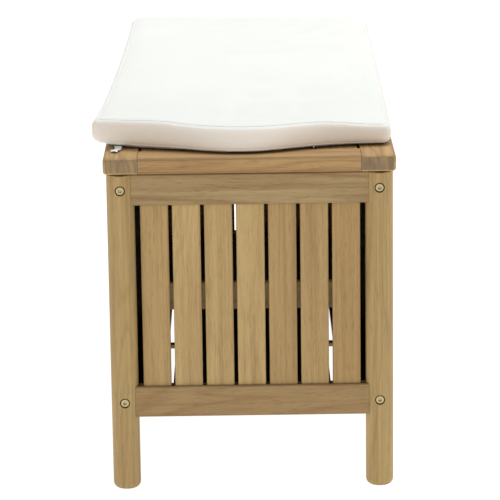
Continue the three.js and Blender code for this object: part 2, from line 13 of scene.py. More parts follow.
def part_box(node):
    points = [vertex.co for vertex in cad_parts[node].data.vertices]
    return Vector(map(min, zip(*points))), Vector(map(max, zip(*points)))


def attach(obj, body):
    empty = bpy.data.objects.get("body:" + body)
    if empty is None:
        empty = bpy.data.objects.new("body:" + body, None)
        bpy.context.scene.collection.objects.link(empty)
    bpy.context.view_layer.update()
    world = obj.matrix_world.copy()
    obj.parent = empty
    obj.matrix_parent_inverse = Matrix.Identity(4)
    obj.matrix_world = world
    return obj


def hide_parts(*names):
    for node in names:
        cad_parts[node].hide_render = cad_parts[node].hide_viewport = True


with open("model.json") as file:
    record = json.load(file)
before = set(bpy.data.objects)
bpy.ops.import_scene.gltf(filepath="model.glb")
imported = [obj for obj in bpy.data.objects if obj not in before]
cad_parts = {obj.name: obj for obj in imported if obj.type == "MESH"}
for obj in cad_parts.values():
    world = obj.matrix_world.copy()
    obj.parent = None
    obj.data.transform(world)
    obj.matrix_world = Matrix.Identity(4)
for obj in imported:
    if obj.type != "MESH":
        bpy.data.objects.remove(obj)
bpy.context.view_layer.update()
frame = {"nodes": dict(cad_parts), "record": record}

bl_info = {
    "name": "Slatted storage bench",
    "version": (1, 0, 0),
    "blender": (4, 5, 0),
    "location": "3D View > Sidebar > Bench",
    "description": "Timber, fittings, liner, cushion and stage for a slatted storage bench",
    "category": "Object",
}

MM = 0.001
ENDS = ("left", "right")
SIDES = ("front", "rear")
CORNERS = [f"{side}_{end}" for side in SIDES for end in ENDS]
END_SLATS = 7
LID_BOARDS = 5
# How warm and dark each board is, from 0 to 1
LEG_TONES = {"front": 0.7, "rear": 0.25}
SLAT_TONES = (0.95, 0.0, 0.35, 0.15, 0.85, 0.8, 1.0)
RAIL_TONES = {"top": 0.45, "bottom": 1.0}


def display(red, green, blue):
    """The scene-linear colour of an 8-bit display colour."""
    linear = []
    for value in (red, green, blue):
        share = value / 255
        linear.append(share / 12.92 if share <= 0.04045 else ((share + 0.055) / 1.055) ** 2.4)
    return tuple(linear)


def colour_property(name, description, default):
    return bpy.props.FloatVectorProperty(
        name=name, description=description, subtype="COLOR", size=3, min=0, max=1, default=default)


def length_property(name, description, millimetres):
    return bpy.props.FloatProperty(
        name=name, description=description, subtype="DISTANCE", unit="LENGTH", default=millimetres * MM)


def angle_property(name, description, radians):
    return bpy.props.FloatProperty(
        name=name, description=description, subtype="ANGLE", unit="ROTATION", default=radians)


# Settings


class StageSettings(bpy.types.PropertyGroup):
    eye: bpy.props.FloatVectorProperty(
        name="Camera place", description="Where the camera stands", subtype="TRANSLATION",
        size=3, default=(5.185, -0.011, 1.5676))
    pitch: angle_property("Camera pitch", "How far the camera looks down", 0.24354)
    yaw: angle_property("Camera yaw", "Turn of the camera about the upright axis", 0.0021933)
    roll: angle_property("Camera roll", "Lean of the camera", -0.013421)
    focal_length: bpy.props.FloatProperty(
        name="Focal length", description="Lens for a 36 mm sensor", unit="CAMERA", default=203.3)
    world_strength: bpy.props.FloatProperty(
        name="Surrounding light", description="Strength of the white surroundings", default=0.5)
    key_power: bpy.props.FloatProperty(
        name="Key light", description="Power of the large soft light", unit="POWER", default=108)
    fill_power: bpy.props.FloatProperty(
        name="Fill light", description="Power of the light beside the camera", unit="POWER", default=12)


class TimberSettings(bpy.types.PropertyGroup):
    leg_colour: colour_property("Leg wood", "Pale tone of the legs", display(196, 168, 112))
    slat_colour: colour_property("Slat wood", "Pale tone of the slats", display(199, 169, 114))
    rail_colour: colour_property("Rail wood", "Pale tone of the rails", display(180, 155, 109))
    lid_colour: colour_property("Lid wood", "Pale tone of the lid", display(201, 166, 113))
    floor_colour: colour_property("Floor wood", "Pale tone of the floor", display(150, 122, 86))
    figure_colour: colour_property("Figure", "Brown of the darker streaks", display(140, 104, 62))
    pore_colour: colour_property("Pores", "Dark of the open pores", display(84, 58, 34))
    end_colour: colour_property("End grain", "Tone of the cut ends", display(142, 121, 94))
    arris: length_property("Arris", "Width of the sanded-off sharp edges", 0.5)


class MetalSettings(bpy.types.PropertyGroup):
    brass_colour: colour_property("Brass", "Tone of the plated bolts", display(204, 186, 142))
    steel_colour: colour_property("Steel", "Tone of the hinges and screws", display(190, 190, 186))
    bolt_chamfer: length_property("Head chamfer", "Rounding of the bolt heads", 1.0)


class LinerSettings(bpy.types.PropertyGroup):
    yarn_colour: colour_property("Yarn", "Black of the woven tape", display(34, 32, 29))
    stitch_colour: colour_property("Stitch", "Grey of the rows of stitches", display(120, 118, 108))
    row_pitch: length_property("Row pitch", "Height from one row of stitches to the next", 11)
    hem_width: length_property("Hem", "Width of the folded top edge", 16)


class CushionSettings(bpy.types.PropertyGroup):
    top_colour: colour_property("Cover", "Tone of the cushion's cover", display(252, 254, 250))
    # The boxing colour is the cover's fabric drawn darker and warmer: painted shade and painted warm light
    # bounced from the lid onto the cushion's sides
    side_colour: colour_property("Boxing", "Tone of the strip round the edge", display(250, 240, 227))
    shrink: length_property("Start inset", "How much smaller the pad starts before it is filled", 2.5)
    swell: length_property("Greatest swell", "How far a point of the cover may move as it fills", 3.5)
    voxel: length_property("Remesh size", "Grid of the cover before it is filled", 6)
    corner_lift: length_property("Corner lift", "How far the near front corner curls up", 7)
    near_bulge: length_property("End bulge", "How far the near end bows out in its middle", 56)


# Small tools


def select_only(*objects):
    bpy.ops.object.select_all(action="DESELECT")
    for item in objects:
        item.select_set(True)
    bpy.context.view_layer.objects.active = objects[0]


def made_piece(name):
    """The object that the last operator made, under the given name."""
    piece = bpy.context.view_layer.objects.active
    piece.name = name
    piece.data.name = name
    return piece


def settle(piece):
    """Moves the piece's place into its mesh, so that the object sits at the origin."""
    select_only(piece)
    bpy.ops.object.transform_apply(location=True, rotation=True, scale=True)


def apply_modifiers(piece):
    select_only(piece)
    for name in [modifier.name for modifier in piece.modifiers]:
        bpy.ops.object.modifier_apply(modifier=name)


def smooth(piece, degrees=50):
    select_only(piece)
    bpy.ops.object.shade_smooth_by_angle(angle=math.radians(degrees))


def copy_piece(source, name, matrix):
    """A copy of a finished piece with its own mesh, placed by the matrix."""
    piece = bpy.data.objects.new(name, source.data.copy())
    piece.data.name = name
    piece.data.transform(matrix)
    bpy.context.scene.collection.objects.link(piece)
    return piece


def copy_node(node, name):
    """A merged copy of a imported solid, with its flat faces whole again."""
    piece = bpy.data.objects.new(name, frame["nodes"][node].data.copy())
    piece.data.name = name
    piece.data.materials.clear()
    bpy.context.scene.collection.objects.link(piece)
    select_only(piece)
    bpy.ops.object.mode_set(mode="EDIT")
    bpy.ops.mesh.select_all(action="SELECT")
    bpy.ops.mesh.remove_doubles(threshold=0.01 * MM)
    bpy.ops.mesh.dissolve_limited(angle_limit=math.radians(0.5))
    bpy.ops.object.mode_set(mode="OBJECT")
    return piece


def soften_edges(piece, width):
    """Takes the sharp edges off by a small bevel and shades the rest smooth."""
    bevel = piece.modifiers.new("Arris", "BEVEL")
    bevel.width = width
    bevel.segments = 2
    bevel.limit_method = "ANGLE"
    bevel.angle_limit = math.radians(50)
    normals = piece.modifiers.new("Normals", "WEIGHTED_NORMAL")
    normals.keep_sharp = True
    smooth(piece)
    apply_modifiers(piece)


def body_of(node):
    for body, members in frame["record"]["behaviour"]["bodies"].items():
        if node in members:
            return body
    raise ValueError(f"no body holds {node}")


def stand_for(piece, node):
    """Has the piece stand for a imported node, on the same body."""
    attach(piece, body_of(node))
    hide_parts(node)


def middle(node):
    low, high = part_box(node)
    return (low + high) / 2


# Materials


class Shader:
    """A new material, with short ways to add its nodes and join them."""

    def __init__(self, name):
        self.material = bpy.data.materials.new(name)
        self.material.use_nodes = True
        self.tree = self.material.node_tree
        self.surface = self.tree.nodes["Principled BSDF"]

    def join(self, value, socket):
        if isinstance(value, bpy.types.NodeSocket):
            self.tree.links.new(value, socket)
        else:
            socket.default_value = value

    def add(self, kind, inputs, **settings):
        node = self.tree.nodes.new(kind)
        for name, value in settings.items():
            setattr(node, name, value)
        for name, value in inputs.items():
            self.join(value, node.inputs[name])
        return node

    def sum(self, operation, *values, clamp=False):
        node = self.add("ShaderNodeMath", {}, operation=operation, use_clamp=clamp)
        for index, value in enumerate(values):
            self.join(value, node.inputs[index])
        return node.outputs["Value"]

    def contrast(self, value, gain, middle=0.5):
        """Stretches a pattern about its middle and keeps it from 0 to 1."""
        return self.sum("MULTIPLY_ADD", value, gain, 0.5 - middle * gain, clamp=True)

    def mix(self, share, first, second, blend_type="MIX"):
        node = self.add("ShaderNodeMix", {}, data_type="RGBA", blend_type=blend_type)
        self.join(share, node.inputs["Factor"])
        for name, value in (("A", first), ("B", second)):
            socket = next(s for s in node.inputs if s.name == name and s.type == "RGBA")
            self.join(value if isinstance(value, bpy.types.NodeSocket) else (*value, 1), socket)
        return next(s for s in node.outputs if s.type == "RGBA")

    def attribute(self, name):
        return self.add("ShaderNodeAttribute", {}, attribute_name=name)

    def place(self):
        return self.add("ShaderNodeTexCoord", {}).outputs["Object"]

    def noise(self, vector, scale, detail=2.0, roughness=0.5, distortion=0.0):
        """Noise on a stretched vector: scale is repeats for each metre along its three axes."""
        mapping = self.add("ShaderNodeMapping", {"Vector": vector, "Scale": scale})
        node = self.add("ShaderNodeTexNoise", {
            "Vector": mapping.outputs["Vector"], "Scale": 1.0, "Detail": detail,
            "Roughness": roughness, "Distortion": distortion})
        return node.outputs["Fac"]

    def painted_joint_shade(self, reach):
        """Painted shade in the joints, round the bolts and under the lid: less than 1 where another face
        stands within the reach.
        """
        open_share = self.add("ShaderNodeAmbientOcclusion", {"Distance": reach}, samples=6)
        clear = self.contrast(open_share.outputs["AO"], 1.7, 0.55)
        return self.sum("MULTIPLY_ADD", clear, 0.45, 0.55)

    def bump(self, height, depth, strength=1.0):
        node = self.add("ShaderNodeBump", {"Height": height, "Distance": depth, "Strength": strength})
        return node.outputs["Normal"]

    def finish(self, **sockets):
        for name, value in sockets.items():
            socket = self.surface.inputs[name.replace("_", " ").title().replace("Ior", "IOR")]
            if name == "base_color" and not isinstance(value, bpy.types.NodeSocket):
                value = (*value, 1)
            self.join(value, socket)
        return self.material


def long_grain(name, pale, ring_share=0.5, warm_share=0.35):
    """Oiled hardwood seen along the fibres. Attribute grain holds the place with Z along the fibres."""
    timber = bpy.context.scene.bench_timber
    figure = tuple(timber.figure_colour)
    shader = Shader(name)
    grain = shader.attribute("grain").outputs["Vector"]
    board = shader.attribute("board").outputs["Fac"]
    edge = shader.attribute("edge").outputs["Fac"]

    cloud = shader.contrast(shader.noise(grain, (30, 30, 2.2), detail=2), 3.2)
    streak = shader.contrast(shader.noise(grain, (170, 170, 1.3), detail=2, roughness=0.55), 3.6)
    fibre = shader.noise(grain, (800, 800, 7), detail=2, roughness=0.6)
    level = shader.noise(grain, (11, 11, 0.9), detail=2, roughness=0.45, distortion=0.4)
    turns = shader.sum("MULTIPLY", level, 2 * math.pi * 17)
    ring = shader.sum("POWER", shader.sum("MULTIPLY_ADD", shader.sum("SINE", turns), 0.5, 0.5), 3.0)
    pore = shader.contrast(shader.noise(grain, (1500, 1500, 42), detail=1), -9, 0.33)

    brown = tuple(0.55 * p + 0.45 * f for p, f in zip(pale, figure))
    colour = shader.mix(cloud, brown, pale)
    colour = shader.mix(shader.sum("MULTIPLY", streak, 0.5), colour, tuple(1.1 * p for p in pale))
    vein = shader.contrast(shader.noise(grain, (95, 95, 1.0), detail=3, roughness=0.5), 5.0, 0.62)
    vein_share = shader.sum("MULTIPLY_ADD", board, 0.3, 0.22)
    colour = shader.mix(shader.sum("MULTIPLY", vein, vein_share), colour, figure)
    colour = shader.mix(shader.sum("MULTIPLY", ring, ring_share), colour, figure)
    warm = tuple(channel * tint for channel, tint in zip(pale, (0.92, 0.74, 0.62)))
    share = shader.sum("MULTIPLY", shader.sum("POWER", board, 3.0), warm_share)
    colour = shader.mix(share, colour, warm)
    fine = shader.contrast(fibre, 2.2)
    shade = shader.sum("MULTIPLY_ADD", fine, 0.16, 0.9)
    shade = shader.sum("MULTIPLY", shade, shader.sum("MULTIPLY_ADD", board, -0.15, 1.07))
    shade = shader.sum("MULTIPLY", shade, shader.sum("MULTIPLY_ADD", edge, -0.14, 1.0))
    # Painted shade: the wood colour is darkened where nearby faces hide the surroundings
    shade = shader.sum("MULTIPLY", shade, shader.painted_joint_shade(9 * MM))
    grey = shader.add("ShaderNodeCombineColor", {"Red": shade, "Green": shade, "Blue": shade})
    colour = shader.mix(1.0, colour, grey.outputs["Color"], "MULTIPLY")
    colour = shader.mix(shader.sum("MULTIPLY", pore, 0.22), colour, tuple(timber.pore_colour))

    height = shader.sum("MULTIPLY_ADD", fibre, 0.6, shader.sum("MULTIPLY", pore, -0.7))
    height = shader.sum("MULTIPLY_ADD", ring, 0.25, height)
    return shader.finish(
        base_color=colour,
        roughness=shader.sum("MULTIPLY_ADD", fibre, 0.3, 0.42),
        specular_ior_level=0.35,
        normal=shader.bump(height, 0.35 * MM))


def end_grain(name, pale):
    """The cut end of a board: growth rings, pores and a greyer weathered tone."""
    timber = bpy.context.scene.bench_timber
    shader = Shader(name)
    grain = shader.attribute("grain").outputs["Vector"]
    dark = tuple(0.62 * c for c in timber.end_colour)
    blotch = shader.contrast(shader.noise(grain, (95, 22, 20), detail=3), 2.4)
    wander = shader.noise(grain, (34, 7, 12), detail=1, distortion=0.2)
    turns = shader.sum("MULTIPLY", wander, 2 * math.pi * 7)
    ring = shader.sum("POWER", shader.sum("MULTIPLY_ADD", shader.sum("SINE", turns), 0.5, 0.5), 2.0)
    pores = shader.add("ShaderNodeTexVoronoi", {"Vector": grain, "Scale": 950.0})
    pore = shader.contrast(pores.outputs["Distance"], -3.5, 0.2)
    mid = tuple(0.5 * (a + b) for a, b in zip(pale, timber.end_colour))
    colour = shader.mix(blotch, tuple(timber.end_colour), mid)
    colour = shader.mix(shader.sum("MULTIPLY", ring, 0.35), colour, dark)
    colour = shader.mix(shader.sum("MULTIPLY", pore, 0.3), colour, tuple(timber.pore_colour))
    height = shader.sum("MULTIPLY_ADD", ring, 0.4, shader.sum("MULTIPLY", pore, -0.6))
    return shader.finish(
        base_color=colour,
        roughness=shader.sum("MULTIPLY_ADD", blotch, 0.15, 0.62),
        specular_ior_level=0.25,
        normal=shader.bump(height, 0.3 * MM))


def plated_metal(name, colour, roughness):
    """Plated metal with faint handling marks."""
    shader = Shader(name)
    place = shader.place()
    cloud = shader.contrast(shader.noise(place, (260, 260, 260), detail=4), 2.0)
    scratch = shader.noise(place, (2400, 300, 2400), detail=2)
    tone = shader.mix(cloud, tuple(0.82 * c for c in colour), colour)
    return shader.finish(
        base_color=tone,
        metallic=0.9,
        roughness=shader.sum("MULTIPLY_ADD", cloud, 0.14, roughness),
        normal=shader.bump(scratch, 0.03 * MM))


def soft_rubber(name):
    shader = Shader(name)
    grit = shader.noise(shader.place(), (1500, 1500, 1500), detail=3)
    tone = shader.mix(grit, display(176, 172, 164), display(214, 211, 204))
    return shader.finish(base_color=tone, roughness=0.75, normal=shader.bump(grit, 0.08 * MM))


def weave_height(shader, place, pitch):
    """Crossing yarns of the given pitch, the same on all three faces of a block."""
    parts = shader.add("ShaderNodeSeparateXYZ", {"Vector": place})
    waves = []
    for axis in "XYZ":
        turns = shader.sum("MULTIPLY", parts.outputs[axis], 2 * math.pi / pitch)
        waves.append(shader.sum("SINE", turns))
    crossed = shader.sum("MULTIPLY", waves[0], waves[1])
    crossed = shader.sum("MULTIPLY_ADD", waves[1], waves[2], crossed)
    return shader.sum("MULTIPLY_ADD", waves[2], waves[0], crossed)


def woven_cover(name, colour):
    """Off-white canvas: a plain weave with slubs and a faint soiling."""
    shader = Shader(name)
    place = shader.place()
    weave = weave_height(shader, place, 1.5 * MM)
    slub_along = shader.noise(place, (6, 420, 420), detail=2, roughness=0.6)
    slub_across = shader.noise(place, (420, 6, 420), detail=2, roughness=0.6)
    slub = shader.sum("ADD", slub_along, slub_across)
    soil = shader.contrast(shader.noise(place, (5, 5, 9), detail=3), 2.2)
    fine = shader.contrast(slub, 1.6, 1.0)
    tone = shader.mix(soil, tuple(0.965 * c for c in colour), colour)
    tone = shader.mix(shader.sum("MULTIPLY", fine, 0.1), tone, tuple(0.86 * c for c in colour))
    height = shader.sum("MULTIPLY_ADD", weave, 0.3, slub)
    return shader.finish(
        base_color=tone,
        roughness=0.92,
        specular_ior_level=0.15,
        sheen_weight=0.25,
        sheen_roughness=0.5,
        normal=shader.bump(height, 0.22 * MM, 0.7))


def woven_liner(name):
    """Black woven tape with rows of pale stitches."""
    liner = bpy.context.scene.bench_liner
    shader = Shader(name)
    place = shader.place()
    parts = shader.add("ShaderNodeSeparateXYZ", {"Vector": place})
    weave = weave_height(shader, place, 3 * MM)
    row = shader.sum("PINGPONG", parts.outputs["Z"], liner.row_pitch / 2)
    in_row = shader.sum("LESS_THAN", row, 0.55 * MM)
    dash = shader.sum("PINGPONG", parts.outputs["X"], 3.5 * MM)
    stitch = shader.sum("MULTIPLY", in_row, shader.sum("GREATER_THAN", dash, 1.1 * MM))
    tape = shader.contrast(shader.noise(place, (9, 9, 260), detail=2), 2.2)
    yarn = tuple(liner.yarn_colour)
    tone = shader.mix(tape, tuple(0.6 * c for c in yarn), yarn)
    tone = shader.mix(shader.contrast(weave, 0.25, 0.0), tone, tuple(1.5 * c for c in yarn))
    tone = shader.mix(stitch, tone, tuple(liner.stitch_colour))
    height = shader.sum("MULTIPLY_ADD", stitch, 1.5, weave)
    return shader.finish(
        base_color=tone, roughness=0.7, specular_ior_level=0.3, normal=shader.bump(height, 0.25 * MM))


# Timber

ALONG = {"X": 0, "Y": 1, "Z": 2}


def lay_grain(piece, board_at, tone=None):
    """Stores each face's place along its own board. board_at gives a face's board number and its axis."""
    mesh = piece.data
    grain = mesh.attributes.new("grain", "FLOAT_VECTOR", "CORNER")
    board = mesh.attributes.new("board", "FLOAT", "FACE")
    edge = mesh.attributes.new("edge", "FLOAT", "FACE")
    for face in mesh.polygons:
        number, axis = board_at(face.center)
        draw = random.Random(f"{piece.name} {number}")
        shift = Vector((draw.uniform(-9, 9), draw.uniform(-9, 9), draw.uniform(-9, 9)))
        along = ALONG[axis]
        order = ((along + 1) % 3, (along + 2) % 3, along)
        board.data[face.index].value = draw.random() if tone is None else tone
        normal = [abs(value) for value in face.normal]
        edge.data[face.index].value = float(max(normal) < 0.985 and normal[along] < 0.5)
        face.material_index = 1 if normal[along] > 0.8 else 0
        for loop in face.loop_indices:
            point = mesh.vertices[mesh.loops[loop].vertex_index].co
            grain.data[loop].vector = Vector([point[i] for i in order]) + shift


def make_timber(node, materials, board_at, tone=None):
    """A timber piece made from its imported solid. Tone runs from 0, pale, to 1, warm."""
    piece = copy_node(node, f"{node}_timber")
    soften_edges(piece, bpy.context.scene.bench_timber.arris)
    for material in materials:
        piece.data.materials.append(material)
    lay_grain(piece, board_at, tone)
    stand_for(piece, node)
    return piece


def one_board(axis):
    return lambda point: (0, axis)


def timber_pair(name, colour, **shares):
    """The long grain and the end grain material of one kind of board."""
    return long_grain(name, tuple(colour), **shares), end_grain(f"{name} end", tuple(colour))


class BENCH_OT_legs(bpy.types.Operator):
    """Make the four turned legs"""
    bl_idname = "bench.legs"
    bl_label = "Legs"

    def execute(self, context):
        materials = timber_pair("Leg wood", context.scene.bench_timber.leg_colour, ring_share=0.2)
        for corner in CORNERS:
            tone = LEG_TONES[corner.split("_")[0]]
            piece = make_timber(f"leg_{corner}", materials, one_board("Z"), tone)
            piece.data.attributes["edge"].data.foreach_set("value", [0.0] * len(piece.data.polygons))
        return {"FINISHED"}


class BENCH_OT_rails(bpy.types.Operator):
    """Make the rails of both ends and both sides"""
    bl_idname = "bench.rails"
    bl_label = "Rails"

    def execute(self, context):
        materials = timber_pair(
            "Rail wood", context.scene.bench_timber.rail_colour, ring_share=0.55, warm_share=0.5)
        for level, tone in RAIL_TONES.items():
            for end in ENDS:
                make_timber(f"end_{level}_rail_{end}", materials, one_board("Y"), tone)
            for side in SIDES:
                make_timber(f"side_{level}_rail_{side}", materials, one_board("X"), tone)
        return {"FINISHED"}


class BENCH_OT_slats(bpy.types.Operator):
    """Make the upright slats and the battens behind them"""
    bl_idname = "bench.slats"
    bl_label = "Slats and battens"

    def execute(self, context):
        materials = timber_pair("Slat wood", context.scene.bench_timber.slat_colour, ring_share=0.13)
        for end in ENDS:
            for number in range(1, END_SLATS + 1):
                tone = SLAT_TONES[number - 1]
                make_timber(f"end_slat_{end}_{number}", materials, one_board("Z"), tone)
            make_timber(f"end_batten_{end}", materials, one_board("Y"))
        slat_low, slat_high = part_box("end_slat_right_1")
        pitch = slat_high.y - slat_low.y
        for side in SIDES:
            node = f"side_slat_panel_{side}"
            low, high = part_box(node)
            thickness = (high.y - low.y) / 2
            is_front = side == "front"

            def board_at(point):
                from_outside = point.y - low.y if is_front else high.y - point.y
                if from_outside > thickness + 0.5 * MM:
                    return -1, "X"
                return round((point.x - low.x) / pitch), "Z"

            make_timber(node, materials, board_at)
        return {"FINISHED"}


class BENCH_OT_floor(bpy.types.Operator):
    """Make the slatted floor on its bearers"""
    bl_idname = "bench.floor"
    bl_label = "Slatted floor"

    def execute(self, context):
        materials = timber_pair("Floor wood", context.scene.bench_timber.floor_colour)
        low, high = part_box("floor_grille")
        board_base = high.z - 12.5 * MM
        bearer_spacing = 300 * MM
        board_spacing = 72 * MM
        first_board = 100

        def board_at(point):
            if point.z < board_base:
                return round((point.x - low.x) / bearer_spacing), "Y"
            return first_board + round((point.y - low.y) / board_spacing), "X"

        make_timber("floor_grille", materials, board_at)
        return {"FINISHED"}


class BENCH_OT_lid(bpy.types.Operator):
    """Make the framed lid with its boards and battens"""
    bl_idname = "bench.lid"
    bl_label = "Lid"

    def execute(self, context):
        materials = timber_pair(
            "Lid wood", context.scene.bench_timber.lid_colour, ring_share=0.4, warm_share=0.3)
        for side in SIDES:
            make_timber(f"lid_stile_{side}", materials, one_board("X"))
        for end in ENDS:
            make_timber(f"lid_end_rail_{end}", materials, one_board("Y"))
            make_timber(f"lid_batten_{end}", materials, one_board("Y"))
        for number in range(1, LID_BOARDS + 1):
            make_timber(f"lid_board_{number}", materials, one_board("X"))
        return {"FINISHED"}


# Fittings


def model_bolt(material):
    """A socket head bolt along +X with the face of its head at the origin."""
    metal = bpy.context.scene.bench_metal
    low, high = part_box("bolt_top_front_right")
    radius = (high.z - low.z) / 2
    length = high.x - low.x
    head, shank = 7 * MM, 4 * MM
    socket_radius, socket_depth = 3.4 * MM, 4 * MM
    bpy.ops.object.select_all(action="DESELECT")
    bpy.ops.mesh.primitive_cylinder_add(
        vertices=48, radius=radius, depth=head, location=(-head / 2, 0, 0), rotation=(0, math.pi / 2, 0))
    bolt = made_piece("bolt_pattern")
    settle(bolt)
    bpy.ops.object.mode_set(mode="EDIT")
    bpy.ops.mesh.select_all(action="DESELECT")
    bpy.ops.object.mode_set(mode="OBJECT")
    for edge in bolt.data.edges:
        ends = [bolt.data.vertices[v].co for v in edge.vertices]
        edge.select = all(abs(point.x) < 0.1 * MM for point in ends)
    bpy.ops.object.mode_set(mode="EDIT")
    bpy.ops.mesh.bevel(offset=metal.bolt_chamfer, segments=4)
    bpy.ops.mesh.select_all(action="DESELECT")
    bpy.ops.object.mode_set(mode="OBJECT")
    for face in bolt.data.polygons:
        face.select = face.normal.x < -0.9
    bpy.ops.object.mode_set(mode="EDIT")
    bpy.ops.mesh.inset(thickness=radius - shank)
    bpy.ops.mesh.extrude_region_move(TRANSFORM_OT_translate={"value": (head - length, 0, 0)})
    bpy.ops.mesh.bevel(offset=0.8 * MM, segments=1)
    bpy.ops.object.mode_set(mode="OBJECT")
    bpy.ops.object.select_all(action="DESELECT")
    bpy.ops.mesh.primitive_cylinder_add(
        vertices=6, radius=socket_radius, depth=2 * socket_depth, location=(0, 0, 0),
        rotation=(0, math.pi / 2, 0))
    socket = made_piece("socket_cutter")
    settle(socket)
    cut = bolt.modifiers.new("Socket", "BOOLEAN")
    cut.operation = "DIFFERENCE"
    cut.object = socket
    cut.solver = "EXACT"
    rim = bolt.modifiers.new("Rim", "BEVEL")
    rim.width = 0.25 * MM
    rim.segments = 2
    rim.limit_method = "ANGLE"
    rim.angle_limit = math.radians(60)
    smooth(bolt, 35)
    apply_modifiers(bolt)
    bpy.data.objects.remove(socket)
    bolt.data.materials.clear()
    bolt.data.materials.append(material)
    return bolt


class BENCH_OT_bolts(bpy.types.Operator):
    """Make the eight socket head bolts"""
    bl_idname = "bench.bolts"
    bl_label = "Bolts"

    def execute(self, context):
        brass = plated_metal("Pale brass", tuple(context.scene.bench_metal.brass_colour), 0.3)
        pattern = model_bolt(brass)
        for corner in CORNERS:
            for level in ("top", "bottom"):
                node = f"bolt_{level}_{corner}"
                low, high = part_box(node)
                centre = (low + high) / 2
                faces_right = centre.x > 0
                turn = 0 if faces_right else math.pi
                spin = random.Random(node).uniform(0, math.pi / 3)
                end = Vector((high.x if faces_right else low.x, centre.y, centre.z))
                facing = Matrix.Rotation(turn, 4, "Z") @ Matrix.Rotation(spin, 4, "X")
                matrix = Matrix.Translation(end) @ facing
                bolt = copy_piece(pattern, f"{node}_brass", matrix)
                stand_for(bolt, node)
        bpy.data.objects.remove(pattern)
        return {"FINISHED"}


def model_screw(material):
    """A countersunk screw head with a cross recess, facing +Z with its face at the origin."""
    head, shank, depth = 3.6 * MM, 1.6 * MM, 2.2 * MM
    bpy.ops.object.select_all(action="DESELECT")
    bpy.ops.mesh.primitive_cone_add(
        vertices=24, radius1=shank, radius2=head, depth=depth, location=(0, 0, -depth / 2))
    screw = made_piece("screw_pattern")
    settle(screw)
    for turn in (0, math.pi / 2):
        bpy.ops.object.select_all(action="DESELECT")
        bpy.ops.mesh.primitive_cube_add(size=1, location=(0, 0, 0), rotation=(0, 0, turn))
        blade = made_piece("blade_cutter")
        blade.scale = (4 * MM, 0.8 * MM, 2 * MM)
        settle(blade)
        cut = screw.modifiers.new("Recess", "BOOLEAN")
        cut.operation = "DIFFERENCE"
        cut.object = blade
        cut.solver = "EXACT"
        apply_modifiers(screw)
        bpy.data.objects.remove(blade)
    rim = screw.modifiers.new("Rim", "BEVEL")
    rim.width = 0.15 * MM
    rim.limit_method = "ANGLE"
    rim.angle_limit = math.radians(50)
    smooth(screw, 40)
    apply_modifiers(screw)
    screw.data.materials.clear()
    screw.data.materials.append(material)
    return screw


def join_copies(pattern, name, matrices):
    """One piece that holds a copy of the pattern at each matrix."""
    copies = [copy_piece(pattern, f"{name}_{index}", matrix) for index, matrix in enumerate(matrices)]
    select_only(*copies)
    bpy.ops.object.join()
    return made_piece(name)


class BENCH_OT_hinges(bpy.types.Operator):
    """Finish the two butt hinges and drive their screws, and those of the lid battens"""
    bl_idname = "bench.hinges"
    bl_label = "Hinges and screws"

    def execute(self, context):
        steel = plated_metal("Zinc plated steel", tuple(context.scene.bench_metal.steel_colour), 0.38)
        screw = model_screw(steel)
        for end in ENDS:
            for part in ("box_leaf", "lid_leaf", "pin"):
                node = f"hinge_{part}_{end}"
                piece = copy_node(node, f"{node}_steel")
                soften_edges(piece, 0.3 * MM)
                piece.data.materials.append(steel)
                stand_for(piece, node)
            self.drive_leaf_screws(screw, end)
            self.drive_batten_screws(screw, end)
        bpy.data.objects.remove(screw)
        return {"FINISHED"}

    def drive_leaf_screws(self, screw, end):
        spacing = 24 * MM
        from_edge = 15 * MM
        plate = 2 * MM
        low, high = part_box(f"hinge_box_leaf_{end}")
        centre = (low + high) / 2
        facing_rear = Matrix.Rotation(-math.pi / 2, 4, "X")
        places = []
        for step in (-spacing, 0, spacing):
            place = Vector((centre.x + step, low.y + plate, low.z + from_edge))
            places.append(Matrix.Translation(place) @ facing_rear)
        piece = join_copies(screw, f"hinge_box_screws_{end}", places)
        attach(piece, "box")
        low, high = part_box(f"hinge_lid_leaf_{end}")
        facing_down = Matrix.Rotation(math.pi, 4, "X")
        places = []
        for step in (-spacing, 0, spacing):
            place = Vector((centre.x + step, low.y + from_edge, high.z - plate))
            places.append(Matrix.Translation(place) @ facing_down)
        piece = join_copies(screw, f"hinge_lid_screws_{end}", places)
        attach(piece, "lid")

    def drive_batten_screws(self, screw, end):
        low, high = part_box(f"lid_batten_{end}")
        facing_down = Matrix.Rotation(math.pi, 4, "X")
        centre_x = (low.x + high.x) / 2
        places = []
        for number in range(1, LID_BOARDS + 1):
            board = middle(f"lid_board_{number}")
            for share in (-1, 1):
                place = Vector((centre_x + share * 14 * MM, board.y + share * 12 * MM, low.z))
                spin = Matrix.Rotation(0.7 * number + share, 4, "Z")
                places.append(Matrix.Translation(place) @ facing_down @ spin)
        piece = join_copies(screw, f"lid_batten_screws_{end}", places)
        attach(piece, "lid")


class BENCH_OT_bumpers(bpy.types.Operator):
    """Finish the two soft stops under the lid"""
    bl_idname = "bench.bumpers"
    bl_label = "Bumpers"

    def execute(self, context):
        rubber = soft_rubber("Soft rubber")
        for end in ENDS:
            node = f"lid_bumper_{end}"
            piece = copy_node(node, f"{node}_rubber")
            soften_edges(piece, 0.4 * MM)
            piece.data.materials.append(rubber)
            stand_for(piece, node)
        return {"FINISHED"}


# Liner


